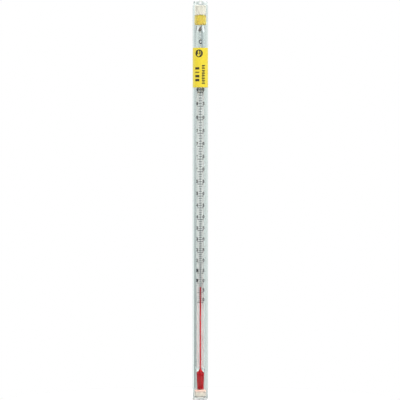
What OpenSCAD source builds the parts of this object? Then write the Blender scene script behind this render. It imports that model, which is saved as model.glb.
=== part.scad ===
// Glass rod thermometer in its clear hanging case.
// The thermometer stands bulb down on a foam pad inside a clear tube. A plug cap with a small
// hanging hole closes the top. Heights are measured up from the foot of the case, and the whole
// model is then lowered so that the centre of the hanging hole is the origin. +Z is up, the scale
// faces -Y and the white strip behind the bore faces +Y.

/* [Case] */
// Overall length of the closed case
case_length = 317; // [300:0.5:340]
// Outer diameter of the tube
case_d = 12.2; // [11.6:0.1:14]
// Wall thickness of the tube
case_wall = 0.7; // [0.5:0.05:0.9]
// Diameter of the solid head of the cap
head_d = 11.4; // [10.8:0.1:12]
// Height of that head
cap_head_h = 4; // [3.6:0.1:6]
// Diameter of the hanging hole
hole_d = 2.2; // [1.5:0.1:2.6]
// Thickness of the flange of the bottom plug
plug_flange_h = 1.5; // [1:0.1:2.5]

/* [Stem] */
// Diameter of the glass rod
stem_d = 8; // [7:0.1:8.4]
// Height of the lower end of the bulb
bulb_foot_z = 7.6; // [7.55:0.05:9]
// Length of the bulb below the rod
bulb_length = 13.1; // [10:0.1:16]
// Largest diameter of the bulb
bulb_d = 6.1; // [5:0.1:6.4]
// Wall thickness of the bulb
bulb_wall = 0.5; // [0.4:0.05:0.8]
// Height of the sealed tip
tip_z = 307.6; // [306.5:0.1:308]
// Diameter of the drawn neck under the tip
neck_d = 6.2; // [5:0.1:6.4]
// Diameter of the capillary bore
bore_d = 0.7; // [0.6:0.05:1]

/* [Scale] */
// Height of the 0 degree line
zero_z = 77.1; // [70:0.1:90]
// Rise of the thread for each degree near 0, mm
degree_mm = 1.48; // [1.4:0.01:1.5]
// Growth of that rise for each degree squared, mm
degree_growth = 0.00413; // [0.0035:0.0001:0.0045]
// Highest degree line
top_degree = 100; // [90:5:105]
// Temperature that the thread shows, in whole degrees
shown_degree = 8; // [5:1:60]

/* [Ring] */
// Size of the ring across its corners
ring_d = 9.5; // [8.8:0.1:9.5]
// Height of the ring
ring_h = 7.7; // [7:0.1:7.9]

/* [Label] */
// Height of the lower edge of the sticker
label_z = 247.8; // [200:0.1:260]
// Height of the sticker
label_h = 31.4; // [20:0.1:36]

/* [Hidden] */
$fn = 96;

// Case
case_r = case_d / 2;
bore_r = case_r - case_wall;
tube_top_z = case_length - cap_head_h;
head_r = head_d / 2;
head_round = 2.8;
hole_rise = 1.9;
hole_z = tube_top_z + hole_rise;
slip = 0.05;
spigot_r = bore_r - slip;
spigot_h = 7.4;
cup_wall = 0.6;
cup_r = spigot_r - cup_wall;
plug_depth = 6;
plug_round = 0.8;
cup_round = 2.6;
cup_floor_z = plug_flange_h - 0.5;
foot_gap = 0.1;
pad_top_z = bulb_foot_z - foot_gap;
tip_pocket_r = 1.5;
tip_pocket_h = 3;
label_t = 0.08;
label_gap = 20;

// Thermometer
stem_r = stem_d / 2;
rod_z = bulb_foot_z + bulb_length;
shoulder_h = 5.6;
bulb_r = bulb_d / 2;
bulb_taper = 0.35;
bulb_foot_r = bulb_r - bulb_taper;
foot_round = 0.9;
belly_z = rod_z - 1.5;
cone_h = 4;
cone_knee_r = 0.7;
cone_knee_h = 1.9;
cone_top_z = rod_z + cone_h;
neck_r = neck_d / 2;
taper_z = 291;
ring_z = 297.4;
neck_play = 0.1;
neck_top_z = ring_z + ring_h - 0.4;
tip_r = 0.9;
tip_foot_r = 1.1;
tip_foot_h = 1;
chamber_z = 292;
chamber_x = -0.5;
chamber_r = 0.8;
chamber_h = 4.4;
chamber_lean = 10;
thread_r = bore_d / 2;
meniscus_h = 10;
meniscus_dip = 0.15;
strip_w = 3.4;
strip_t = 0.3;
strip_y = 1.2;
strip_low_z = cone_top_z + 0.5;
strip_top_z = 274;
mark_t = 0.06;
mark_w = 0.5;
short_mark = 17;
long_mark = 34;

// Ring
ring_r = ring_d / 2;
ring_bowl_h = 2.6;
ring_foot_r = 3.6;
ring_top_round = 0.7;

// Height of the line for a temperature. The bore narrows in proportion as the spirit swells, so
// the lines grow apart up the stem.
function line_z(t) = zero_z + degree_mm * t + degree_growth * t * t;

// Points along a round corner, from angle a to angle b, about the point c
function corner(c, r, a, b, steps = 8) =
    [for (i = [0:steps]) let (t = a + (b - a) * i / steps) c + r * [cos(t), sin(t)]];

// A smooth step from 0 to 1
function ease(t) = t * t * (3 - 2 * t);

// A smooth neck between two radii, as points from height z to height z + h
function flow(r_low, r_high, z, h, steps = 10) =
    [for (i = [0:steps]) [r_low + (r_high - r_low) * ease(i / steps), z + h * i / steps]];

// Everything is drawn from the foot of the case up, and then hung on the origin
module hung() {
    translate([0, 0, -hole_z]) children();
}

module barrel(r, z, h) {
    translate([0, 0, z]) cylinder(r = r, h = h);
}

module pipe(r_out, r_in, z, h) {
    translate([0, 0, z]) rotate_extrude() translate([r_in, 0]) square([r_out - r_in, h]);
}

// ---- Case ----

module case_tube() {
    color([0.82, 0.9, 0.89, 0.35])
    hung() pipe(case_r, bore_r, plug_flange_h, tube_top_z - plug_flange_h);
}

// Flange and cup in one moulding. The cup has a round floor.
module bottom_plug() {
    color([0.82, 0.9, 0.89, 0.35])
    hung() rotate_extrude() polygon(concat(
        [[0, 0]],
        corner([case_r - plug_round, plug_round], plug_round, -90, 0),
        [[case_r, plug_flange_h], [bore_r, plug_flange_h], [bore_r, plug_depth], [cup_r, plug_depth]],
        corner([cup_r - cup_round, cup_floor_z + cup_round], cup_round, 0, -90),
        [[0, cup_floor_z]]
    ));
}

module bottom_pad() {
    color([0.93, 0.86, 0.78])
    hung() rotate_extrude() polygon(concat(
        [[0, cup_floor_z]],
        corner([cup_r - cup_round, cup_floor_z + cup_round], cup_round, -90, 0),
        [[cup_r, pad_top_z], [0, pad_top_z]]
    ));
}

module label() {
    color([0.98, 0.87, 0.25])
    hung() translate([0, 0, label_z])
        rotate([0, 0, 90 + label_gap / 2])
            rotate_extrude(angle = 360 - label_gap)
                translate([case_r, 0]) square([label_t, label_h]);
}

// Round-shouldered solid head with a hanging hole, over a thin spigot that plugs into the tube
module hang_cap() {
    color([0.86, 0.92, 0.91, 0.35])
    hung() difference() {
        rotate_extrude() polygon(concat(
            [[0, tube_top_z], [cup_r, tube_top_z], [cup_r, tube_top_z - spigot_h]],
            [[spigot_r, tube_top_z - spigot_h], [spigot_r, tube_top_z], [head_r, tube_top_z]],
            corner([head_r - head_round, case_length - head_round], head_round, 0, 90),
            [[0, case_length]]
        ));
        translate([0, case_r + 1, hole_z]) rotate([90, 0, 0]) cylinder(r = hole_d / 2, h = case_d + 2);
    }
}

// Foam plug in the cap, with a pocket that the sealed tip sits in
module top_pad() {
    color([0.95, 0.91, 0.84])
    hung() difference() {
        barrel(cup_r, tube_top_z - spigot_h, spigot_h);
        barrel(tip_pocket_r, tube_top_z - spigot_h - 1, tip_pocket_h + 1);
    }
}

// ---- Glass ----

// The space that the spirit fills: the inside of the bulb and the cone that leads to the bore
module spirit_space() {
    rotate_extrude() polygon(concat(
        [[0, bulb_foot_z + bulb_wall], [bulb_foot_r - foot_round, bulb_foot_z + bulb_wall]],
        [[bulb_foot_r - bulb_wall, bulb_foot_z + bulb_wall + foot_round * 0.6]],
        [[bulb_r - bulb_wall, belly_z], [bulb_r - bulb_wall - 0.15, rod_z]],
        [[thread_r + cone_knee_r, rod_z + cone_knee_h], [thread_r, cone_top_z], [0, cone_top_z]]
    ));
}

module bulb() {
    color([0.9, 0.95, 0.94, 0.35])
    hung() difference() {
        rotate_extrude() polygon(concat(
            [[0, bulb_foot_z]],
            corner([bulb_foot_r - foot_round, bulb_foot_z + foot_round], foot_round, -90, 0),
            [[bulb_r, belly_z], [bulb_r, rod_z], [0, rod_z]]
        ));
        spirit_space();
    }
}

// Pear-shaped chamber at the top of the bore, leaning a little as drawn glass does
module expansion_chamber() {
    translate([chamber_x, 0, chamber_z]) rotate([0, chamber_lean, 0]) rotate_extrude() polygon([
        [0, 0], [chamber_r * 0.6, 0.2], [chamber_r, 0.8], [chamber_r * 0.95, 1.8],
        [chamber_r * 0.55, 3.1], [0, chamber_h]
    ]);
}

module strip_shape() {
    translate([-strip_w / 2, strip_y, strip_low_z]) cube([strip_w, strip_t, strip_top_z - strip_low_z]);
}

module stem() {
    color([0.9, 0.95, 0.94, 0.35])
    hung() difference() {
        rotate_extrude() polygon(concat(
            [[0, rod_z]],
            flow(bulb_r, stem_r, rod_z, shoulder_h),
            flow(stem_r, neck_r, taper_z, ring_z - neck_play - taper_z),
            [[neck_r, neck_top_z]],
            [[tip_foot_r, neck_top_z + tip_foot_h]],
            corner([0, tip_z - tip_r], tip_r, 0, 90)
        ));
        spirit_space();
        barrel(thread_r, cone_top_z - 0.1, chamber_z + 0.4 - cone_top_z);
        expansion_chamber();
        strip_shape();
    }
}

module backing_strip() {
    color("white")
    hung() strip_shape();
}

// One fired line: a sliver of a ring on the front of the rod
module scale_mark(t) {
    half = t % 5 == 0 ? long_mark : short_mark;
    translate([0, 0, line_z(t) - mark_w / 2])
        rotate([0, 0, -90 - half])
            rotate_extrude(angle = 2 * half)
                translate([stem_r, 0]) square([mark_t, mark_w]);
}

module scale_marks() {
    color([0.2, 0.2, 0.22])
    hung() for (t = [0:top_degree]) scale_mark(t);
}

// ---- Spirit ----

module spirit_reservoir() {
    color([0.75, 0.06, 0.1])
    hung() spirit_space();
}

// The part of the thread that stays in the bore below the moving top
module spirit_column() {
    color([0.75, 0.06, 0.1])
    hung() barrel(thread_r, cone_top_z, line_z(shown_degree) - meniscus_h - cone_top_z);
}

// The top of the thread, with a hollow end because spirit wets the glass
module spirit_meniscus() {
    top_z = line_z(shown_degree);
    color([0.75, 0.06, 0.1])
    hung() difference() {
        barrel(thread_r - slip, top_z - meniscus_h, meniscus_h);
        translate([0, 0, top_z - meniscus_dip])
            cylinder(r1 = 0, r2 = thread_r - slip * 1.5, h = meniscus_dip + 0.001);
    }
}

// ---- Ring ----

// Six-sided grip, rounded off below, with a bore for the drawn neck
module anti_roll_ring() {
    color([0.93, 0.82, 0.3])
    hung() translate([0, 0, ring_z]) difference() {
        intersection() {
            cylinder(r = ring_r, h = ring_h, $fn = 6);
            rotate_extrude() polygon(concat(
                [[0, 0], [ring_foot_r, 0]],
                [for (i = [1:8]) let (a = 90 * i / 8)
                    [ring_foot_r + (ring_r - ring_foot_r) * sin(a), ring_bowl_h * (1 - cos(a))]],
                corner([ring_r - ring_top_round, ring_h - ring_top_round], ring_top_round, 0, 90),
                [[0, ring_h]]
            ));
        }
        translate([0, 0, -1]) cylinder(r = neck_r + slip, h = ring_h + 2);
    }
}

case_tube();
bottom_plug();
bottom_pad();
label();
hang_cap();
top_pad();
stem();
bulb();
backing_strip();
scale_marks();
spirit_reservoir();
spirit_column();
spirit_meniscus();
anti_roll_ring();
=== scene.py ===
"""Looks of the glass rod thermometer in its clear hanging case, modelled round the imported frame.

Sizes are in millimetres until a mesh is made, where MM turns them into metres. Z is up, the scale
faces -Y, and heights come from the boxes of the CAD nodes.
"""

import math
import random

import bmesh
import bpy
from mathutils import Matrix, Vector, noise


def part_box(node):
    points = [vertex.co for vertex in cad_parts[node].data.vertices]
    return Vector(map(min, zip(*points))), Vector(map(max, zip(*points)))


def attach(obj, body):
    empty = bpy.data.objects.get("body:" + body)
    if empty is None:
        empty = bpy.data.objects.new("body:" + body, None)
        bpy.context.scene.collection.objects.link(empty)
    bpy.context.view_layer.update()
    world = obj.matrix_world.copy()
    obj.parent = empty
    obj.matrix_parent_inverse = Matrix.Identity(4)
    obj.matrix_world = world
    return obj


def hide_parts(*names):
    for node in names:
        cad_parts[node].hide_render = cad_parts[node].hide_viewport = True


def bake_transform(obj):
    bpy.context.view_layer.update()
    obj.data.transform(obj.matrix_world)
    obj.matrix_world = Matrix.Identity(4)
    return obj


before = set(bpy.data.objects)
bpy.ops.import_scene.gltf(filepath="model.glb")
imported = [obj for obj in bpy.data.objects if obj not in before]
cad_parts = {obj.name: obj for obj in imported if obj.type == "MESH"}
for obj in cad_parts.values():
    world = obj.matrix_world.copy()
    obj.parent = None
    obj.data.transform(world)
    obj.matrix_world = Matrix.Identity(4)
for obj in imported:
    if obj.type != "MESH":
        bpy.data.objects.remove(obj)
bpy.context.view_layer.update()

MM = 0.001
FULL_TURN = 2 * math.pi


def heights(node):
    """Lowest and highest point of a CAD node, in mm."""
    low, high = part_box(node)
    return low.z / MM, high.z / MM


def radius(node):
    """Half the width of a CAD node, in mm."""
    low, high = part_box(node)
    return (high.x - low.x) / 2 / MM


# ---- Sizes, from the frame ----

FOOT_Z, PLUG_TOP_Z = heights("bottom_plug")
TUBE_LOW_Z, TUBE_TOP_Z = heights("case_tube")
TUBE_R = radius("case_tube")
CAP_LOW_Z, CAP_TOP_Z = heights("hang_cap")
PAD_LOW_Z, PAD_TOP_Z = heights("bottom_pad")
PAD_R = radius("bottom_pad")
LABEL_LOW_Z, LABEL_TOP_Z = heights("label")
BULB_LOW_Z, ROD_LOW_Z = heights("bulb")
BULB_R = radius("bulb")
ROD_R = radius("stem")
TIP_Z = heights("stem")[1]
RING_LOW_Z, RING_TOP_Z = heights("anti_roll_ring")
RING_R = radius("anti_roll_ring")
COLUMN_LOW_Z, COLUMN_TOP_Z = heights("spirit_column")
THREAD_R = radius("spirit_column")
THREAD_TOP_Z = heights("spirit_meniscus")[1]
MARKS_LOW_Z, MARKS_TOP_Z = heights("scale_marks")

# ---- Sizes of this script's own ----

ROUND_SEGMENTS = 128
SMOOTH_ANGLE = 35
EDGE = 0.12
FIT_EDGE = 0.05

# Case
TUBE_WALL = 0.7
BORE_R = TUBE_R - TUBE_WALL
PLUG_R = BORE_R - 0.03
GATE_R = 0.9
GATE_H = 0.35
CUP_FLOOR = 1.0
CUP_ROUND = 2.6
FLANGE_ROUND = 0.8
SPIGOT_R = BORE_R - 0.05
HEAD_R = 5.7
HEAD_ROUND = 2.8
HOLE_R = 1.1

# Foam
FOAM_GAP = 0.09
FOAM_SEGMENTS = 120
FOAM_SOFT_EDGE = 1.6
FOAM_FIRM_EDGE = 0.4
CELL_SIZE = 0.8
CELL_REACH = 0.55
CELL_DEPTH = 0.09
SWELL_SIZE = 2.2
SWELL_DEPTH = 0.04
POCKET_R = 1.5
POCKET_H = 3.0

# Glass
BULB_WALL = 0.5
BULB_TAPER = 0.35
BULB_FOOT_ROUND = 0.9
BELLY_Z = ROD_LOW_Z - 1.5
SHOULDER_H = 5.6
NECK_R = 3.1
NECK_TOP_Z = RING_TOP_Z - 0.4
TAPER_Z = RING_LOW_Z - 6.4
TIP_FOOT_R = 1.1
TIP_R = 0.9
CONE_KNEE_R = 0.7
CONE_KNEE_H = 1.9
CONE_TOP_Z = COLUMN_LOW_Z
CONE_OVERLAP = 1  # the spirit of the bulb runs this far up past the foot of the column
CHAMBER_Z = RING_LOW_Z - 5.4
CHAMBER_X = -0.5
CHAMBER_R = 0.8
CHAMBER_LEAN = math.radians(10)
CHAMBER_H = 4.4
CHAMBER_FORM = [(0.6, 0.2), (1.0, 0.8), (0.95, 1.8), (0.55, 3.1), (0.2, 4.1)]  # share of radius, rise
STRIP_EDGE = 0.12
WET = 0.006  # spirit is this much wider than its space in the glass, so that no air shows

# Spirit
COLUMN_RINGS = 110
DIP_R = 0.3
DIP_H = 0.16
DIP_ANGLES = (1.35, 1.1, 0.8, 0.5, 0.25)  # radians from the axis, from the rim inwards

# Scale
MARK_W = 0.5
MARK_ROUND = 0.08
TOP_DEGREE = 100
DEGREE_GROWTH = 0.00413  # half of what each degree has over the one below it
SHORT_MARK = math.radians(17)
LONG_MARK = math.radians(34)
NUMBER_STEP = 5
INK_T = 0.045
INK_ROOT = 0.01
DIGIT_H = 2.6
DIGIT_W = 1.9
DIGIT_ARC = 2.62
DIGIT_LIFT = 2.1
DIGIT_WEIGHT = 0.045
UNIT_Z = CHAMBER_Z - 8.0
UNIT_H = 3.4
UNIT_W = 2.3
UNIT_WEIGHT = 0.04

# Sticker
LABEL_WRAP = math.radians(340)
LABEL_T = 0.08
LABEL_GLUE = 0.004
FILM_R = TUBE_R + LABEL_T - 0.035
PRINT_T = 0.012
CORNER_R = 1.0
BADGE_X = -1.1
BADGE_Z = LABEL_TOP_Z - 4.5
BADGE_R = 3.1
SMALL_BAR_X = 2.5
SMALL_BAR_Z = LABEL_TOP_Z - 14.2
SMALL_BAR_PITCH = 2.0
SMALL_BARS = 8
SMALL_BAR_W = 2.7
SMALL_BAR_H = 0.95
TINY_BAR_CHANCE = 0.6
TINY_BAR_W = 1.5
TINY_BAR_H = 0.45
BIG_BAR_X = -2.6
BIG_BAR_Z = LABEL_TOP_Z - 16.4
BIG_BAR_PITCH = 3.1
BIG_BAR_W = 3.6
BIG_BAR_HEIGHTS = (1.9, 0.8, 1.9, 1.9)
GLYPH_X = BADGE_X - 0.4
GLYPH_STEM_W = 1.0
GLYPH_STEM_H = 3.2
GLYPH_BULB_R = 1.05
GLYPH_LINES = 4
GLYPH_LINE_X = BADGE_X + 1.15
GLYPH_LINE_PITCH = 0.8
GLYPH_LINE_W = 1.1
GLYPH_LINE_H = 0.34

# Ring
RING_SEGMENTS = 144
BOWL_H = 2.6
BOWL_FOOT_R = 3.6
RING_TOP_ROUND = 0.7
RING_BORE_R = NECK_R + 0.05
RING_BORE_EDGE = 0.15

# Stage and camera
FLOOR_R = 150
FLOOR_GAP = 0.2
LENS = 300
SENSOR_W = 36
WIDTH_SEEN = 318.2
CAMERA_X = -0.29
CAMERA_DROP = 0.2
BOUNCES = 48


# ---- Mesh helpers ----


def link(name, bm, mat, body, smooth_angle=SMOOTH_ANGLE):
    """Turn a bmesh in metres into a smooth-shaded piece that rides on a body."""
    bmesh.ops.recalc_face_normals(bm, faces=bm.faces[:])
    mesh = bpy.data.meshes.new(name)
    bm.to_mesh(mesh)
    bm.free()
    mesh.shade_smooth()
    mesh.set_sharp_from_angle(angle=math.radians(smooth_angle))
    mesh.materials.append(mat)
    piece = bpy.data.objects.new(name, mesh)
    bpy.context.collection.objects.link(piece)
    if body:
        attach(piece, body)
    return piece


def rounded(outline, steps=6, closed=True):
    """Round an outline's corners. A corner is (x, y, size); its curve starts that far from it."""
    points = []
    last = len(outline) - 1
    for i, (x, y, size) in enumerate(outline):
        here = Vector((x, y))
        if size == 0 or (not closed and i in (0, last)):
            points.append((x, y))
            continue
        before = Vector(outline[i - 1][:2]) - here
        after = Vector(outline[(i + 1) % len(outline)][:2]) - here
        start = here + before.normalized() * min(size, before.length / 2)
        end = here + after.normalized() * min(size, after.length / 2)
        for k in range(steps + 1):
            t = k / steps
            p = start.lerp(here, t).lerp(here.lerp(end, t), t)
            points.append((p.x, p.y))
    return points


def flow(r_low, r_high, z_low, z_high, steps=16):
    """A smooth change of radius between two heights."""
    points = []
    for k in range(steps + 1):
        t = k / steps
        r = r_low + (r_high - r_low) * t * t * (3 - 2 * t)
        points.append((r, z_low + (z_high - z_low) * t))
    return points


def arc(x, y, r, start, end, steps=8):
    """Points on an arc, with angles in degrees."""
    angles = [math.radians(start + (end - start) * k / steps) for k in range(steps + 1)]
    return [(x + r * math.cos(a), y + r * math.sin(a)) for a in angles]


def guarded(profile, gap=0.03):
    """Put a point just inside both ends of each long stretch.

    Smooth shading then bends only at the corners.
    """
    points = [(*point, 0)[:3] for point in profile]
    if points[0][0] > 1e-6:
        points.append(points[0])
    result = []
    for a, b in zip(points, points[1:]):
        result.append(a)
        length = math.dist(a, b)
        if length > 15 * gap:
            result.append(Vector(a).lerp(Vector(b), gap / length)[:])
            result.append(Vector(b).lerp(Vector(a), gap / length)[:])
    if profile[0][0] < 1e-6:
        result.append(points[-1])
    return result


def add_turned(bm, profile, segments=ROUND_SEGMENTS):
    """Add a shape turned about Z. A profile point is (radius, height) or (radius, height, x shift)."""
    rings = []
    for r, z, shift in guarded(profile):
        if r < 1e-6:
            rings.append([bm.verts.new((shift * MM, 0, z * MM))])
            continue
        ring = []
        for i in range(segments):
            a = FULL_TURN * i / segments
            x = shift + r * math.cos(a)
            ring.append(bm.verts.new((x * MM, r * math.sin(a) * MM, z * MM)))
        rings.append(ring)
    pairs = list(zip(rings, rings[1:]))
    if len(rings[0]) > 1:
        pairs.append((rings[-1], rings[0]))
    for low, high in pairs:
        for i in range(segments):
            j = (i + 1) % segments
            corners = [low[i % len(low)], low[j % len(low)], high[j % len(high)], high[i % len(high)]]
            distinct = list(dict.fromkeys(corners))
            if len(distinct) > 2:
                bm.faces.new(distinct)
    return bm


def turned(name, profile, mat, body, segments=ROUND_SEGMENTS):
    """A piece turned about Z."""
    return link(name, add_turned(bmesh.new(), profile, segments), mat, body)


def evaluated_mesh(piece):
    """A new mesh of a piece as its modifiers or its curve make it."""
    return bpy.data.meshes.new_from_object(piece.evaluated_get(bpy.context.evaluated_depsgraph_get()))


def add_flat(bm, outline):
    """Add a flat face to be wrapped later. Its points are (across, up) in mm, laid in X and Y."""
    bm.faces.new([bm.verts.new((x, y, 0)) for x, y in outline])


def rounded_box(x, y, w, h, r):
    """Outline of a box with round corners, centred at x, y."""
    r = min(r, w / 2 - 1e-4, h / 2 - 1e-4)
    points = []
    corners = [(1, -1, -90), (1, 1, 0), (-1, 1, 90), (-1, -1, 180)]
    for side, top, start in corners:
        points += arc(x + side * (w / 2 - r), y + top * (h / 2 - r), r, start, start + 90, 4)
    return points


def wrapped(name, flat, r_in, r_out, mat, body, slice_w=0.22):
    """Wrap flat faces round the Z axis as a thin closed skin. Across becomes an arc from -Y."""
    low = min(v.co.x for v in flat.verts)
    high = max(v.co.x for v in flat.verts)
    cuts = int((high - low) / slice_w)
    for k in range(1, cuts + 1):
        cut = Vector((low + (high - low) * k / (cuts + 1), 0, 0))
        everything = flat.verts[:] + flat.edges[:] + flat.faces[:]
        bmesh.ops.bisect_plane(flat, geom=everything, plane_co=cut, plane_no=(1, 0, 0), dist=1e-5)
    grown = bmesh.ops.extrude_face_region(flat, geom=flat.faces[:], use_keep_orig=True)
    outer = {v for v in grown["geom"] if isinstance(v, bmesh.types.BMVert)}
    middle = (r_in + r_out) / 2
    for v in flat.verts:
        a = v.co.x / middle - math.pi / 2
        r = r_out if v in outer else r_in
        v.co = (r * math.cos(a) * MM, r * math.sin(a) * MM, v.co.y * MM)
    return link(name, flat, mat, body, smooth_angle=50)


# ---- Material helpers ----


def new_material(name):
    """A material, its node tree and its surface shader."""
    mat = bpy.data.materials.new(name)
    mat.use_nodes = True
    return mat, mat.node_tree, mat.node_tree.nodes["Principled BSDF"]


def settings(shader, **values):
    """Set sockets of a shader by name, with _ for a space."""
    for key, value in values.items():
        shader.inputs[key.replace("_", " ")].default_value = value


def grain(tree, size, stretch=(1, 1, 1), detail=2.0, kind="ShaderNodeTexNoise"):
    """A procedural pattern with features of about that size in mm, in the piece's own space."""
    coords = tree.nodes.new("ShaderNodeTexCoord")
    mapping = tree.nodes.new("ShaderNodeMapping")
    mapping.inputs["Scale"].default_value = [s / MM / size for s in stretch]
    pattern = tree.nodes.new(kind)
    pattern.inputs["Scale"].default_value = 1.0
    if kind == "ShaderNodeTexNoise":
        pattern.inputs["Detail"].default_value = detail
    tree.links.new(coords.outputs["Object"], mapping.inputs["Vector"])
    tree.links.new(mapping.outputs["Vector"], pattern.inputs["Vector"])
    return pattern.outputs["Distance"] if kind == "ShaderNodeTexVoronoi" else pattern.outputs["Fac"]


def ramp(tree, source, stops):
    """Colours along a 0 to 1 value. Stops are (place, colour)."""
    node = tree.nodes.new("ShaderNodeValToRGB")
    node.color_ramp.elements[0].position = stops[0][0]
    node.color_ramp.elements[1].position = stops[-1][0]
    for place, _ in stops[1:-1]:
        node.color_ramp.elements.new(place)
    for element, (_, colour) in zip(node.color_ramp.elements, stops):
        element.color = (*colour, 1)
    tree.links.new(source, node.inputs["Fac"])
    return node.outputs["Color"]


def between(tree, source, low, high, from_low=0.3, from_high=0.7):
    """Turn a pattern into a value from low to high."""
    node = tree.nodes.new("ShaderNodeMapRange")
    node.inputs["From Min"].default_value = from_low
    node.inputs["From Max"].default_value = from_high
    node.inputs["To Min"].default_value = low
    node.inputs["To Max"].default_value = high
    tree.links.new(source, node.inputs["Value"])
    return node.outputs["Result"]


def blend_colours(tree, a, b, factor=None, kind="MIX"):
    """Blend two colours. Without a factor, the second acts in full."""
    node = tree.nodes.new("ShaderNodeMix")
    node.data_type = "RGBA"
    node.blend_type = kind
    node.inputs["Factor"].default_value = 1.0
    if factor:
        tree.links.new(factor, node.inputs["Factor"])
    first, second = [socket for socket in node.inputs if socket.type == "RGBA"]
    tree.links.new(a, first)
    tree.links.new(b, second)
    return next(socket for socket in node.outputs if socket.type == "RGBA")


def bump(tree, shader, source, depth, strength=1.0):
    """Raise the surface by a pattern, by about depth mm."""
    node = tree.nodes.new("ShaderNodeBump")
    node.inputs["Strength"].default_value = strength
    node.inputs["Distance"].default_value = depth * MM
    tree.links.new(source, node.inputs["Height"])
    tree.links.new(node.outputs["Normal"], shader.inputs["Normal"])


# ---- Materials ----


def clear_plastic(name, tint, lines):
    """Clear plastic with faint drawing lines along the tube and light scuffs."""
    mat, tree, shader = new_material(name)
    settings(shader, Transmission_Weight=1.0, IOR=1.46, Base_Color=(*tint, 1))
    scuffs = grain(tree, 3.5, detail=5)
    tree.links.new(between(tree, scuffs, 0.02, 0.1), shader.inputs["Roughness"])
    bump(tree, shader, grain(tree, 0.5, stretch=(1, 1, 0.02)), lines)
    return mat


def stem_glass():
    """Drawn glass with faint lines along it."""
    mat, tree, shader = new_material("stem_glass")
    settings(shader, Transmission_Weight=1.0, IOR=1.5, Base_Color=(0.955, 0.975, 0.97, 1))
    tree.links.new(between(tree, grain(tree, 6.0), 0.0, 0.02), shader.inputs["Roughness"])
    bump(tree, shader, grain(tree, 1.2, stretch=(1, 1, 0.015)), 0.002)
    return mat


def foam_skin(name, pores, second_pores=None, second_low=0, second_high=1):
    """Open-cell foam: small dark pores in a matt skin, which may change to a second colour between two
    heights and keep it above them.
    """
    mat, tree, shader = new_material(name)
    settings(shader, Roughness=0.95, Specular_IOR_Level=0.15, Sheen_Weight=0.2)
    cells = grain(tree, 0.45, kind="ShaderNodeTexVoronoi")
    colour = ramp(tree, cells, pores)
    if second_pores:
        coords = tree.nodes.new("ShaderNodeTexCoord")
        split = tree.nodes.new("ShaderNodeSeparateXYZ")
        tree.links.new(coords.outputs["Object"], split.inputs["Vector"])
        reach = between(tree, split.outputs["Z"], 0, 1, second_low * MM, second_high * MM)
        colour = blend_colours(tree, colour, ramp(tree, cells, second_pores), reach)
    tree.links.new(colour, shader.inputs["Base Color"])
    bump(tree, shader, cells, 0.12, 0.8)
    return mat


def yellow_film():
    """Glossy printed film, a little uneven where it was pressed on by hand."""
    mat, tree, shader = new_material("yellow_film")
    settings(shader, Coat_Weight=0.35, Coat_Roughness=0.2)
    tone = [(0.3, (0.78, 0.59, 0.031)), (0.7, (0.74, 0.62, 0.037))]
    tree.links.new(ramp(tree, grain(tree, 4.0, detail=3), tone), shader.inputs["Base Color"])
    tree.links.new(between(tree, grain(tree, 1.0), 0.32, 0.45), shader.inputs["Roughness"])
    bump(tree, shader, grain(tree, 2.2, stretch=(1, 1, 0.5)), 0.03, 0.6)
    return mat


def yellow_plastic():
    """Soft translucent vinyl of the ring."""
    mat, tree, shader = new_material("yellow_plastic")
    settings(shader, Subsurface_Weight=0.5, Subsurface_Scale=0.002, Transmission_Weight=0.12, IOR=1.45)
    settings(shader, Subsurface_Radius=(1.0, 0.7, 0.25))
    tone = [(0.25, (0.8, 0.62, 0.105)), (0.75, (0.86, 0.68, 0.13))]
    tree.links.new(ramp(tree, grain(tree, 2.5), tone), shader.inputs["Base Color"])
    tree.links.new(between(tree, grain(tree, 1.6), 0.26, 0.36), shader.inputs["Roughness"])
    bump(tree, shader, grain(tree, 0.7), 0.012, 0.12)
    return mat


def white_enamel():
    """Drawn white glass, streaked along its length."""
    mat, tree, shader = new_material("white_enamel")
    settings(shader, Specular_IOR_Level=0.3)
    tone = [(0.3, (0.8, 0.795, 0.785)), (0.7, (0.88, 0.875, 0.86))]
    streaks = grain(tree, 0.6, stretch=(1, 1, 0.03))
    tree.links.new(ramp(tree, streaks, tone), shader.inputs["Base Color"])
    tree.links.new(between(tree, grain(tree, 0.5), 0.3, 0.5), shader.inputs["Roughness"])
    bump(tree, shader, grain(tree, 0.4, stretch=(1, 1, 0.05)), 0.01, 0.4)
    return mat


def dark_enamel():
    """Fired ink, thinner and greyer in places."""
    mat, tree, shader = new_material("dark_enamel")
    tone = [(0.3, (0.022, 0.022, 0.026)), (0.72, (0.07, 0.07, 0.075))]
    tree.links.new(ramp(tree, grain(tree, 0.25, detail=4), tone), shader.inputs["Base Color"])
    tree.links.new(between(tree, grain(tree, 0.3), 0.35, 0.6), shader.inputs["Roughness"])
    bump(tree, shader, grain(tree, 0.12), 0.01, 0.5)
    return mat


def label_ink():
    """Printing ink on the film."""
    mat, tree, shader = new_material("label_ink")
    tone = [(0.3, (0.02, 0.016, 0.01)), (0.75, (0.06, 0.05, 0.02))]
    tree.links.new(ramp(tree, grain(tree, 0.3, detail=3), tone), shader.inputs["Base Color"])
    tree.links.new(between(tree, grain(tree, 0.8), 0.35, 0.5), shader.inputs["Roughness"])
    return mat


def red_spirit():
    """Dyed spirit, so deep a red that it is made opaque."""
    mat, tree, shader = new_material("red_spirit")
    settings(shader, Specular_IOR_Level=0.08)
    tone = [(0.3, (0.58, 0.007, 0.016)), (0.7, (0.68, 0.01, 0.022))]
    tree.links.new(ramp(tree, grain(tree, 2.0, stretch=(1, 1, 0.4)), tone), shader.inputs["Base Color"])
    tree.links.new(between(tree, grain(tree, 1.5), 0.15, 0.25), shader.inputs["Roughness"])
    return mat


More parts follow.
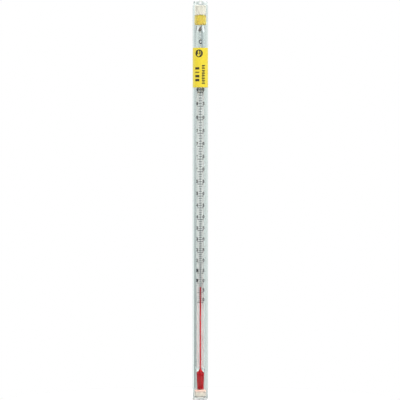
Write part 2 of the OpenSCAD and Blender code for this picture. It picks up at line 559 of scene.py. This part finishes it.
def bore_grey():
    """Painted shade: a flat grey that stands in for the darkness of the empty bore seen through the
    glass.
    """
    mat, tree, shader = new_material("bore_grey")
    settings(shader, Specular_IOR_Level=0.1)
    tone = [(0.3, (0.58, 0.58, 0.59)), (0.7, (0.68, 0.68, 0.69))]
    tree.links.new(ramp(tree, grain(tree, 0.9, stretch=(1, 1, 0.1)), tone), shader.inputs["Base Color"])
    tree.links.new(between(tree, grain(tree, 0.5), 0.3, 0.5), shader.inputs["Roughness"])
    return mat


def dried_spirit():
    """Painted shade: a dark brown film that stands in for the darkness of the air in the expansion
    chamber.
    """
    mat, tree, shader = new_material("dried_spirit")
    tone = [(0.3, (0.05, 0.04, 0.036)), (0.7, (0.16, 0.13, 0.11))]
    tree.links.new(ramp(tree, grain(tree, 0.4, detail=3), tone), shader.inputs["Base Color"])
    tree.links.new(between(tree, grain(tree, 0.5), 0.4, 0.6), shader.inputs["Roughness"])
    return mat


TUBE_PLASTIC = clear_plastic("tube_plastic", (0.965, 0.98, 0.977), 0.004)
MOULDED_PLASTIC = clear_plastic("moulded_plastic", (0.975, 0.985, 0.98), 0.002)
FOOT_PLASTIC = clear_plastic("foot_plastic", (0.975, 0.95, 0.93), 0.002)
GLASS = stem_glass()
CREAM_PORES = [(0.0, (0.66, 0.56, 0.44)), (0.35, (0.89, 0.82, 0.71)), (0.8, (0.94, 0.89, 0.8))]
PALE_PORES = [(0.0, (0.6, 0.53, 0.44)), (0.35, (0.8, 0.75, 0.67)), (0.8, (0.86, 0.81, 0.74))]
PINK_PORES = [(0.0, (0.48, 0.22, 0.17)), (0.35, (0.68, 0.34, 0.26)), (0.8, (0.73, 0.4, 0.31))]
CREAM_FOAM = foam_skin("cream_foam", CREAM_PORES)
# the bottom pad turns pinker and darker towards its top
FOOT_FOAM = foam_skin("foot_foam", PALE_PORES, PINK_PORES, BULB_LOW_Z - 2.6, BULB_LOW_Z - 0.2)
FILM = yellow_film()
VINYL = yellow_plastic()
WHITE = white_enamel()
DARK = dark_enamel()
INK = label_ink()
RED = red_spirit()
# painted shade: dark brown for the expansion chamber
PAINTED_CHAMBER_SHADE = dried_spirit()
# painted shade: grey for the empty bore
PAINTED_BORE_SHADE = bore_grey()


# ---- Case ----


def make_tube():
    """Plain tube with softened ends."""
    outline = [
        (BORE_R, TUBE_LOW_Z, EDGE),
        (TUBE_R, TUBE_LOW_Z, EDGE),
        (TUBE_R, TUBE_TOP_Z, EDGE),
        (BORE_R, TUBE_TOP_Z, EDGE),
    ]
    piece = turned("case_tube_clear", rounded(outline), TUBE_PLASTIC, "case")
    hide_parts("case_tube")


def make_bottom_plug():
    """Flanged plug. Its cup has a round floor, and a small gate mark is left under the flange."""
    floor_z = FOOT_Z + CUP_FLOOR
    outline = [
        (0, FOOT_Z + GATE_H, 0),
        (GATE_R, FOOT_Z + GATE_H, 0.2),
        (GATE_R + 0.3, FOOT_Z, 0.2),
        (TUBE_R, FOOT_Z, FLANGE_ROUND),
        (TUBE_R, TUBE_LOW_Z, EDGE),
        (PLUG_R, TUBE_LOW_Z, FIT_EDGE),
        (PLUG_R, PLUG_TOP_Z, EDGE),
        (PAD_R, PLUG_TOP_Z, EDGE),
        (PAD_R, floor_z, CUP_ROUND),
        (0, floor_z, 0),
    ]
    piece = turned("bottom_plug_clear", rounded(outline, closed=False), FOOT_PLASTIC, "case")
    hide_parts("bottom_plug")


def make_hang_cap():
    """Round-shouldered solid head over a thin spigot, with the hanging hole cut through the head."""
    outline = [
        (0, TUBE_TOP_Z, 0),
        (PAD_R, TUBE_TOP_Z, 0.15),
        (PAD_R, CAP_LOW_Z, EDGE),
        (SPIGOT_R, CAP_LOW_Z, EDGE),
        (SPIGOT_R, TUBE_TOP_Z, FIT_EDGE),
        (HEAD_R, TUBE_TOP_Z, EDGE),
        (HEAD_R, CAP_TOP_Z, HEAD_ROUND),
        (0, CAP_TOP_Z, 0),
    ]
    cap = turned("hang_cap_clear", rounded(outline, 10, closed=False), MOULDED_PLASTIC, None)
    reach = TUBE_R + 2
    drill = [(0, -reach), (HOLE_R, -reach), (HOLE_R, reach), (0, reach)]
    cutter = turned("hole_cutter", drill, MOULDED_PLASTIC, None, 64)
    cutter.rotation_euler.x = math.pi / 2
    cut = cap.modifiers.new("hole", "BOOLEAN")
    cut.object = cutter
    cut.operation = "DIFFERENCE"
    cut.solver = "EXACT"
    bpy.context.view_layer.update()
    final = evaluated_mesh(cap)
    cap.modifiers.clear()
    cap.data = final
    final.shade_smooth()
    final.set_sharp_from_angle(angle=math.radians(SMOOTH_ANGLE))
    bpy.data.objects.remove(cutter)
    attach(cap, "cap")
    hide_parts("hang_cap")


def dense(profile, step=0.25):
    """The same outline with points at most step apart."""
    points = []
    for (x1, y1), (x2, y2) in zip(profile, profile[1:]):
        count = max(1, math.ceil(math.dist((x1, y1), (x2, y2)) / step))
        for k in range(count):
            points.append((x1 + (x2 - x1) * k / count, y1 + (y2 - y1) * k / count))
    return points + [profile[-1]]


def foam(name, outline, mat, node, body, seed):
    """A foam pad: a turned form whose skin is dented by its cells."""
    bm = add_turned(bmesh.new(), dense(rounded(outline, closed=False)), FOAM_SEGMENTS)
    offset = Vector((seed, seed * 0.7, seed * 1.3))
    bmesh.ops.recalc_face_normals(bm, faces=bm.faces[:])
    bm.normal_update()
    for v in bm.verts:
        p = v.co / MM + offset
        cell = noise.voronoi(p / CELL_SIZE)[0][0]
        swell = noise.noise(p / SWELL_SIZE) * 0.5
        dent = CELL_DEPTH * max(0.0, CELL_REACH - cell) + SWELL_DEPTH * (0.5 - swell)
        v.co -= v.normal * dent * MM
    piece = link(name, bm, mat, body, smooth_angle=80)
    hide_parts(node)


def make_pads():
    """The pad that the bulb stands on, and the one in the cap with a pocket for the sealed tip."""
    r = PAD_R - FOAM_GAP
    low = PAD_LOW_Z + FOAM_GAP
    outline = [
        (0, low, 0),
        (r, low, CUP_ROUND),
        (r, PAD_TOP_Z, FOAM_SOFT_EDGE),
        (0, PAD_TOP_Z, 0),
    ]
    foam("bottom_pad_foam", outline, FOOT_FOAM, "bottom_pad", "case", seed=3.0)
    low, high = heights("top_pad")
    outline = [
        (0, low + POCKET_H, 0),
        (POCKET_R - 0.08, low + POCKET_H, 0.4),
        (POCKET_R, low, 0.3),
        (r, low, FOAM_FIRM_EDGE),
        (r, high - FOAM_GAP, FOAM_FIRM_EDGE),
        (0, high - FOAM_GAP, 0),
    ]
    foam("top_pad_foam", outline, CREAM_FOAM, "top_pad", "cap", seed=11.0)


def make_label():
    """The wrapped yellow sticker. Its ends leave a narrow gap at the back of the tube."""
    width = LABEL_WRAP * (TUBE_R + LABEL_T / 2)
    height = LABEL_TOP_Z - LABEL_LOW_Z
    flat = bmesh.new()
    add_flat(flat, rounded_box(0, (LABEL_LOW_Z + LABEL_TOP_Z) / 2, width, height, CORNER_R))
    sheet = wrapped("label_film", flat, TUBE_R + LABEL_GLUE, FILM_R, FILM, "case", 0.4)
    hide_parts("label")


def make_label_print():
    """A round badge over two columns of plain bars, which stand where the sticker is printed."""
    ink = bmesh.new()
    add_flat(ink, arc(BADGE_X, BADGE_Z, BADGE_R, 0, 354, 59))
    rng = random.Random(7)
    for k in range(SMALL_BARS):
        z = SMALL_BAR_Z - k * SMALL_BAR_PITCH
        add_flat(ink, rounded_box(SMALL_BAR_X, z, SMALL_BAR_W, SMALL_BAR_H, 0.15))
        if rng.random() < TINY_BAR_CHANCE:
            x = SMALL_BAR_X + rng.uniform(-0.5, 0.5)
            add_flat(ink, rounded_box(x, z - SMALL_BAR_H, TINY_BAR_W, TINY_BAR_H, 0.1))
    for k, height in enumerate(BIG_BAR_HEIGHTS):
        z = BIG_BAR_Z - k * BIG_BAR_PITCH
        add_flat(ink, rounded_box(BIG_BAR_X, z, BIG_BAR_W, height, 0.2))
    piece = wrapped("label_print", ink, FILM_R - INK_ROOT, FILM_R + PRINT_T, INK, "case")


def make_label_glyph():
    """The badge's generic pictogram: a thermometer beside four scale lines."""
    glyph = bmesh.new()
    add_flat(glyph, rounded_box(GLYPH_X, BADGE_Z + 0.7, GLYPH_STEM_W, GLYPH_STEM_H, GLYPH_STEM_W / 2))
    add_flat(glyph, arc(GLYPH_X, BADGE_Z - 1.3, GLYPH_BULB_R, 0, 330, 22))
    for k in range(GLYPH_LINES):
        z = BADGE_Z + 1.5 - k * GLYPH_LINE_PITCH
        add_flat(glyph, rounded_box(GLYPH_LINE_X, z, GLYPH_LINE_W, GLYPH_LINE_H, 0.12))
    piece = wrapped("label_glyph", glyph, FILM_R, FILM_R + 2 * PRINT_T, FILM, "case")


# ---- Glass ----


def spirit_space(grow=0.0):
    """Outline of the space in the bulb and the cone above it, made bigger by grow."""
    low = BULB_LOW_Z + BULB_WALL - grow
    r = BULB_R - BULB_WALL + grow
    bore_r = THREAD_R + grow
    outline = [
        (0, low, 0),
        (r - BULB_TAPER, low, 0.5),
        (r, BELLY_Z, 0.8),
        (r - 0.15, ROD_LOW_Z, 0.8),
        (bore_r + CONE_KNEE_R, ROD_LOW_Z + CONE_KNEE_H, 0.8),
        (bore_r, CONE_TOP_Z, 0.6),
        (bore_r, CONE_TOP_Z + CONE_OVERLAP, 0),
    ]
    return rounded(outline, closed=False)


def chamber_skin(grow=0.0):
    """Outline of the expansion chamber, a pear that leans over as drawn glass does."""
    lean = math.sin(CHAMBER_LEAN)
    points = []
    for share, rise in CHAMBER_FORM:
        points.append((CHAMBER_R * share + grow, CHAMBER_Z + rise, CHAMBER_X + lean * rise))
    return points + [(0, CHAMBER_Z + CHAMBER_H - 0.05, CHAMBER_X + lean * CHAMBER_H)]


def flip_inner(piece):
    """Turn the faces of the inner skin so that they point into the empty space."""
    bm = bmesh.new()
    bm.from_mesh(piece.data)
    seen = set()
    for start in bm.verts:
        if start in seen:
            continue
        island, queue = [], [start]
        seen.add(start)
        while queue:
            v = queue.pop()
            island.append(v)
            for edge in v.link_edges:
                other = edge.other_vert(v)
                if other not in seen:
                    seen.add(other)
                    queue.append(other)
        widest = max(v.co.xy.length for v in island) / MM
        faces = {f for v in island for f in v.link_faces}
        volume = sum(f.calc_center_median().dot(f.normal) * f.calc_area() for f in faces)
        inner = widest < BULB_R - 0.1
        if (volume > 0) == inner:
            bmesh.ops.reverse_faces(bm, faces=list(faces))
    bm.to_mesh(piece.data)
    bm.free()


def make_glass():
    """Stem and bulb fused into one piece of glass, with the space inside it."""
    foot_r = BULB_R - BULB_TAPER
    foot_round = BULB_FOOT_ROUND
    outside = arc(foot_r - foot_round, BULB_LOW_Z + foot_round, foot_round, -90, 0)
    belly = [(foot_r, BULB_LOW_Z + 3, 0), (BULB_R, BELLY_Z, 1), (BULB_R, ROD_LOW_Z, 0)]
    outside += rounded(belly, closed=False)
    outside += flow(BULB_R, ROD_R, ROD_LOW_Z, ROD_LOW_Z + SHOULDER_H)[1:]
    outside += flow(ROD_R, NECK_R, TAPER_Z, RING_LOW_Z - 0.1)
    tip = [
        (NECK_R, RING_LOW_Z + 1, 0),
        (NECK_R, NECK_TOP_Z, 0.5),
        (TIP_FOOT_R, NECK_TOP_Z + 1, 0.3),
        (TIP_R, TIP_Z - TIP_R, 0),
    ]
    outside += rounded(tip, closed=False)
    outside += arc(0, TIP_Z - TIP_R, TIP_R, 0, 90)[1:-1]
    bm = add_turned(bmesh.new(), [(0, BULB_LOW_Z)] + outside + [(0, TIP_Z)])

    inside = spirit_space() + [(THREAD_R, CHAMBER_Z - 0.4, 0)] + chamber_skin()
    add_turned(bm, inside, 48)
    piece = link("thermometer_glass", bm, GLASS, "thermometer")
    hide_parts("stem", "bulb")
    flip_inner(piece)


def make_chamber_trace():
    """A dark brown film of painted shade on the wall of the expansion chamber, where the air in the
    glass looks dark.
    """
    skin = chamber_skin(WET)
    low = (0, skin[0][1] + 0.03, skin[0][2])
    bm = add_turned(bmesh.new(), [low] + skin, 32)
    # painted shade lining the expansion chamber
    piece = link("expansion_chamber_painted_shade", bm, PAINTED_CHAMBER_SHADE, "thermometer")


def make_bore_line():
    """A grey line of painted shade in the empty bore, standing in for the darkness that the glass gives
    it. Where the bore is full, the wider red thread hides it.
    """
    r = THREAD_R - 0.03
    low = CONE_TOP_Z + CONE_OVERLAP
    profile = [(0, low), (r, low), (r, CHAMBER_Z), (0, CHAMBER_Z)]
    # painted shade: a grey thread where the empty bore looks dark
    piece = turned("painted_bore_shade_line", profile, PAINTED_BORE_SHADE, "thermometer", 24)


def make_strip():
    """White enamel ribbon fused in the glass behind the bore."""
    low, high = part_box("backing_strip")
    centre = (low + high) / 2
    size = high - low
    bm = bmesh.new()
    bmesh.ops.create_cube(bm, size=1)
    for v in bm.verts:
        v.co = centre + Vector((v.co.x * size.x, v.co.y * size.y, v.co.z * size.z))
    bmesh.ops.bevel(
        bm, geom=bm.edges[:], offset=STRIP_EDGE * MM, segments=4, affect="EDGES", profile=0.5
    )
    piece = link("backing_strip_enamel", bm, WHITE, "thermometer", smooth_angle=10)
    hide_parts("backing_strip")


# ---- Scale ----


def line_z(degrees):
    """Height of a degree line. The lines grow apart up the stem."""
    low = MARKS_LOW_Z + MARK_W / 2
    high = MARKS_TOP_Z - MARK_W / 2
    per_degree = (high - low) / TOP_DEGREE - DEGREE_GROWTH * TOP_DEGREE
    return low + per_degree * degrees + DEGREE_GROWTH * degrees**2


def fire_on(name, flat):
    """Wrap flat faces round the stem as fired ink."""
    piece = wrapped(name, flat, ROD_R - INK_ROOT, ROD_R + INK_T, DARK, "thermometer")
    return piece


def make_marks():
    """A line at every degree, longer where a number stands."""
    flat = bmesh.new()
    for degrees in range(TOP_DEGREE + 1):
        half = LONG_MARK if degrees % NUMBER_STEP == 0 else SHORT_MARK
        add_flat(flat, rounded_box(0, line_z(degrees), 2 * half * ROD_R, MARK_W, MARK_ROUND))
    piece = fire_on("scale_lines", flat)
    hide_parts("scale_marks")


def add_text(bm, text, x, z, width, height, weight):
    """Add a character as flat faces, fitted to a box that is centred at x, z."""
    curve = bpy.data.curves.new("character", "FONT")
    curve.body = text
    curve.resolution_u = 6
    curve.offset = weight
    holder = bpy.data.objects.new("character", curve)
    bpy.context.collection.objects.link(holder)
    bpy.context.view_layer.update()
    mesh = evaluated_mesh(holder)
    xs = [v.co.x for v in mesh.vertices]
    ys = [v.co.y for v in mesh.vertices]
    scale_x = width / (max(xs) - min(xs))
    scale_y = height / (max(ys) - min(ys))
    centre_x = (max(xs) + min(xs)) / 2
    centre_y = (max(ys) + min(ys)) / 2
    for v in mesh.vertices:
        v.co = (x + (v.co.x - centre_x) * scale_x, z + (v.co.y - centre_y) * scale_y, 0)
    bm.from_mesh(mesh)
    bpy.data.objects.remove(holder)
    bpy.data.curves.remove(curve)
    bpy.data.meshes.remove(mesh)


def make_numbers():
    """A number at every fifth line, with one digit each side of the bore."""
    flat = bmesh.new()
    for degrees in range(0, TOP_DEGREE, NUMBER_STEP):
        z = line_z(degrees) + DIGIT_LIFT
        tens, ones = divmod(degrees, 10)
        if tens:
            add_text(flat, str(tens), -DIGIT_ARC, z, DIGIT_W, DIGIT_H, DIGIT_WEIGHT)
        add_text(flat, str(ones), DIGIT_ARC, z, DIGIT_W, DIGIT_H, DIGIT_WEIGHT)
    bmesh.ops.remove_doubles(flat, verts=flat.verts[:], dist=1e-4)
    fire_on("scale_numbers", flat)


def make_unit_mark():
    """The C above the scale."""
    flat = bmesh.new()
    add_text(flat, "C", 0, UNIT_Z, UNIT_W, UNIT_H, UNIT_WEIGHT)
    bmesh.ops.remove_doubles(flat, verts=flat.verts[:], dist=1e-4)
    fire_on("unit_mark", flat)


# ---- Spirit ----


def make_reservoir():
    """The spirit in the bulb and in the cone above it."""
    profile = spirit_space(WET) + [(0, CONE_TOP_Z + CONE_OVERLAP)]
    piece = turned("spirit_reservoir_red", profile, RED, "thermometer", 64)
    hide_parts("spirit_reservoir")


def make_column():
    """The thread, in many rings because it stretches as its top moves."""
    low = COLUMN_LOW_Z
    step = (COLUMN_TOP_Z - low) / COLUMN_RINGS
    wall = [(THREAD_R + WET, low + step * k) for k in range(COLUMN_RINGS + 1)]
    profile = [(0, low)] + wall + [(0, COLUMN_TOP_Z)]
    column = turned("spirit_column_red", profile, RED, None, 32)
    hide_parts("spirit_column")
    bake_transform(column)


def make_thread_top():
    """The moving top of the thread, with its hollow end."""
    r = THREAD_R + WET
    low, high = COLUMN_TOP_Z - 0.02, THREAD_TOP_Z
    profile = [(0, low), (r, low), (r, high - 0.02), (r - 0.03, high)]
    profile += [(DIP_R * math.sin(a), high - DIP_H * math.cos(a)) for a in DIP_ANGLES]
    profile += [(0, high - DIP_H)]
    piece = turned("spirit_meniscus_red", profile, RED, "spirit_top", 32)
    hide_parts("spirit_meniscus")


# ---- Ring ----


def soft_min(a, b, blend_size):
    """The smaller of two values, with a round change from one to the other."""
    h = max(blend_size - abs(a - b), 0) / blend_size
    return min(a, b) - h * h * blend_size / 4


def hexagon_reach(r, a):
    """How far the grip reaches at an angle: r, cut back softly to a hexagon with round corners."""
    flat_r = (RING_R + 0.12) * math.cos(math.pi / 6)
    side = (a % (math.pi / 3)) - math.pi / 6
    reach = soft_min(flat_r / math.cos(side), RING_R + 0.1, 0.4)
    return soft_min(reach, r + 0.1, 0.3)


def grip_profile(height, steps=8):
    """Outside of the grip from its foot up: a bowl, a straight wall and a rounded top edge."""
    shoulder = height - RING_TOP_ROUND
    points = []
    for x, z in arc(0, 0, 1, -90, 0, 14):
        points.append((BOWL_FOOT_R + x * (RING_R - BOWL_FOOT_R), BOWL_H + z * BOWL_H))
    for k in range(1, steps + 1):
        points.append((RING_R, BOWL_H + (shoulder - BOWL_H) * k / steps))
    return points + arc(RING_R - RING_TOP_ROUND, shoulder, RING_TOP_ROUND, 0, 90, steps)[1:]


def make_ring():
    """Six-sided grip, rounded off below and bored for the drawn neck."""
    height = RING_TOP_Z - RING_LOW_Z
    outside = grip_profile(height)
    edge = RING_BORE_EDGE
    bore = [
        (RING_BORE_R + edge, height),
        (RING_BORE_R, height - edge),
        (RING_BORE_R, edge),
        (RING_BORE_R + edge, 0),
    ]
    bm = bmesh.new()
    rings = []
    for k, (r, z) in enumerate(outside + bore):
        ring = []
        for i in range(RING_SEGMENTS):
            a = FULL_TURN * i / RING_SEGMENTS
            reach = hexagon_reach(r, a) if k < len(outside) else r
            x, y = reach * math.cos(a), reach * math.sin(a)
            ring.append(bm.verts.new((x * MM, y * MM, (RING_LOW_Z + z) * MM)))
        rings.append(ring)
    for low, high in zip(rings, rings[1:] + rings[:1]):
        for i in range(RING_SEGMENTS):
            j = (i + 1) % RING_SEGMENTS
            bm.faces.new([low[i], low[j], high[j], high[i]])
    piece = link("anti_roll_ring_vinyl", bm, VINYL, "ring")
    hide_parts("anti_roll_ring")


# ---- Stage ----


def make_stage():
    """A plain pale floor just under the foot, less bright in the glass than to the eye."""
    bm = bmesh.new()
    bmesh.ops.create_circle(bm, cap_ends=True, segments=96, radius=FLOOR_R * MM)
    mat, tree, shader = new_material("floor")
    settings(shader, Roughness=0.9, Specular_IOR_Level=0.1)
    path = tree.nodes.new("ShaderNodeLightPath")
    tone = [(0.0, (0.27, 0.285, 0.28)), (1.0, (0.5, 0.5, 0.5))]
    tree.links.new(ramp(tree, path.outputs["Is Camera Ray"], tone), shader.inputs["Base Color"])
    floor = link("floor", bm, mat, None)
    floor.location.z = (FOOT_Z - FLOOR_GAP) * MM


HORIZON = (0.66, 0.725, 0.705)
OVERHEAD = (3.2, 3.2, 3.2)
BELOW = (0.75, 0.77, 0.765)
DARK_ROOM = (0.09, 0.09, 0.09)
REAR_STOPS = [
    (0.0, BELOW),
    (0.42, BELOW),
    (0.46, HORIZON),
    (0.76, HORIZON),
    (0.88, OVERHEAD),
    (1.0, OVERHEAD),
]
FRONT_STOPS = [
    (0.0, BELOW),
    (0.4, BELOW),
    (0.45, DARK_ROOM),
    (0.6, DARK_ROOM),
    (0.75, OVERHEAD),
    (1.0, OVERHEAD),
]
SIDE_STOPS = [
    (0.0, (1.35, 1.35, 1.35)),
    (0.24, (1.2, 1.2, 1.2)),
    (0.3, (1.2, 1.2, 1.2)),
    (0.36, (0.8, 0.81, 0.83)),
    (0.41, (0.74, 0.75, 0.77)),
    (0.47, (0.98, 0.98, 0.98)),
    (0.58, (1.0, 1.0, 1.0)),
    (0.68, (1.28, 1.25, 1.24)),
    (0.76, (1.42, 1.4, 1.39)),
    (0.84, (1.0, 1.0, 1.01)),
    (1.0, (1.0, 1.0, 1.01)),
]
LOW_SIDE_STOPS = [
    (0.0, (1.0, 1.0, 1.0)),
    (0.24, (1.65, 1.65, 1.65)),
    (0.3, (1.6, 1.6, 1.6)),
    (0.36, (0.82, 0.83, 0.86)),
    (0.41, (0.26, 0.27, 0.27)),
    (0.46, (0.8, 0.84, 0.83)),
    (0.52, (1.0, 1.0, 1.0)),
    (0.68, (1.28, 1.24, 1.23)),
    (0.76, (1.5, 1.46, 1.45)),
    (0.84, (0.4, 0.45, 0.45)),
    (1.0, (0.4, 0.45, 0.45)),
]
KEY_STOPS = [(0.0, (0.45, 0.45, 0.45)), (0.5, (1.0, 1.0, 1.0)), (1.0, (1.5, 1.5, 1.5))]


def calculate(tree, operation, a, b):
    """One sum or product of two linked values."""
    node = tree.nodes.new("ShaderNodeMath")
    node.operation = operation
    tree.links.new(a, node.inputs[0])
    tree.links.new(b, node.inputs[1])
    return node.outputs["Value"]


def straight_through(tree, path):
    """1 for a ray that has only passed through clear pieces, 0 for one reflected or scattered."""
    met = calculate(tree, "ADD", path.outputs["Glossy Depth"], path.outputs["Diffuse Depth"])
    unmet = between(tree, met, 1, 0, 0, 1)
    passed = between(tree, path.outputs["Transmission Depth"], 0, 1, 0, 1)
    return calculate(tree, "MULTIPLY", unmet, passed)


def make_world():
    """White where the camera looks. What shows through the glass is a pale teal room, bright overhead.

    The front of the room is dark in reflections only, so that they don't veil the red and the
    yellow. The darker upright bands at the sides draw the walls of the tube, and the light
    overhead is stronger from the right.
    """
    world = bpy.data.worlds.new("studio")
    bpy.context.scene.world = world
    world.use_nodes = True
    tree = world.node_tree
    seen = tree.nodes["Background"]
    settings(seen, Color=(1, 1, 1, 1), Strength=1.0)
    room = tree.nodes.new("ShaderNodeBackground")
    coords = tree.nodes.new("ShaderNodeTexCoord")
    split = tree.nodes.new("ShaderNodeSeparateXYZ")
    tree.links.new(coords.outputs["Generated"], split.inputs["Vector"])
    x, y, z = split.outputs["X"], split.outputs["Y"], split.outputs["Z"]
    rear = ramp(tree, between(tree, z, 0, 1, -1, 1), REAR_STOPS)
    front = ramp(tree, between(tree, z, 0, 1, -1, 1), FRONT_STOPS)
    walls = blend_colours(tree, front, rear, between(tree, y, 0, 1, -0.25, 0.0))
    path = tree.nodes.new("ShaderNodeLightPath")
    walls = blend_colours(tree, walls, rear, straight_through(tree, path))
    side = ramp(tree, between(tree, x, 0, 1, -1, 1), SIDE_STOPS)
    low_side = ramp(tree, between(tree, x, 0, 1, -1, 1), LOW_SIDE_STOPS)
    key = ramp(tree, between(tree, x, 0, 1, -1, 1), KEY_STOPS)
    sides = blend_colours(tree, low_side, side, between(tree, z, 0, 1, -0.05, 0.03))
    sides = blend_colours(tree, sides, key, between(tree, z, 0, 1, 0.2, 0.4))
    tree.links.new(blend_colours(tree, walls, sides, kind="MULTIPLY"), room.inputs["Color"])
    mix = tree.nodes.new("ShaderNodeMixShader")
    tree.links.new(path.outputs["Is Camera Ray"], mix.inputs["Fac"])
    tree.links.new(room.outputs["Background"], mix.inputs[1])
    tree.links.new(seen.outputs["Background"], mix.inputs[2])
    tree.links.new(mix.outputs["Shader"], tree.nodes["World Output"].inputs["Surface"])


def make_camera():
    """A long lens straight in front, at half the height of the case."""
    camera = bpy.data.objects.new("camera", bpy.data.cameras.new("camera"))
    camera.data.lens = LENS
    camera.data.sensor_width = SENSOR_W
    distance = WIDTH_SEEN * LENS / SENSOR_W
    middle_z = (FOOT_Z + CAP_TOP_Z) / 2 - CAMERA_DROP
    camera.location = (CAMERA_X * MM, -distance * MM, middle_z * MM)
    camera.rotation_euler.x = math.pi / 2
    camera.data.clip_start = 0.05
    camera.data.clip_end = 50
    bpy.context.collection.objects.link(camera)
    bpy.context.scene.camera = camera


make_camera()
make_world()
make_stage()
make_tube()
make_bottom_plug()
make_hang_cap()
make_pads()
make_label()
make_label_print()
make_label_glyph()
make_glass()
make_chamber_trace()
make_bore_line()
make_strip()
make_marks()
make_numbers()
make_unit_mark()
make_reservoir()
make_column()
make_thread_top()
make_ring()

scene = bpy.context.scene
scene.view_settings.view_transform = "Standard"
for kind in ("max_bounces", "diffuse_bounces", "glossy_bounces", "transmission_bounces"):
    setattr(scene.cycles, kind, BOUNCES)
scene.cycles.blur_glossy = 0
